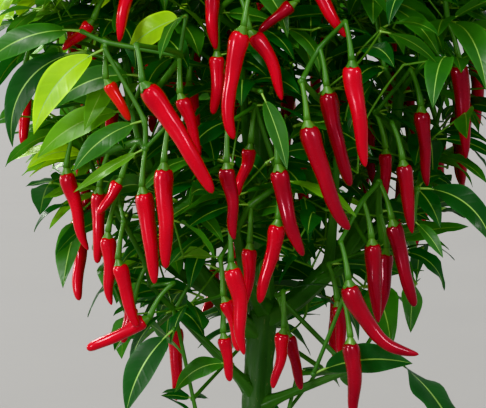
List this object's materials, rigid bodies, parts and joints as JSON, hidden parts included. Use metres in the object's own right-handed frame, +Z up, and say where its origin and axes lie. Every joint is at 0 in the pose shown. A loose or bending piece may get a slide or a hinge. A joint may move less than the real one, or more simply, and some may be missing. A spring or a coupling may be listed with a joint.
{
  "type": "chilli pepper plant",
  "caption": "Bushy chilli pepper plant with one green stem forking low down, drooping pointed leaves and hanging slender red fruit on every side.",
  "frame": {"origin": "middle of the flat cut under the stem, at ground level", "axes": "+Z up the stem, -Y towards the side that the picture shows, +X to that view's right"},
  "size_m": [0.3355, 0.3174, 0.486],
  "materials": {
    "stem": "satin",
    "bough": "satin",
    "foliage": "satin",
    "fruit": "gloss"
  },
  "bodies": {
    "root": {"stem": "stem", "bough_top": "bough", "bough_upper_right": "bough", "bough_upper_left": "bough", "bough_back": "bough", "bough_upper_front": "bough", "bough_upper_back": "bough", "bough_front": "bough", "bough_mid_right": "bough", "bough_right": "bough", "bough_right_front": "bough", "bough_left": "bough", "bough_back_left": "bough", "bough_back_right": "bough", "bough_low_left": "bough", "bough_low_right": "bough", "bough_low_back": "bough", "mass_top": "foliage", "mass_upper_right": "foliage", "mass_upper_left": "foliage", "mass_back": "foliage", "mass_upper_front": "foliage", "mass_upper_back": "foliage", "mass_front": "foliage", "mass_mid_right": "foliage", "mass_right": "foliage", "mass_right_front": "foliage", "mass_left": "foliage", "mass_back_left": "foliage", "mass_back_right": "foliage", "mass_low_left": "foliage", "mass_low_right": "foliage", "mass_low_back": "foliage"}
  },
  "joints": []
}
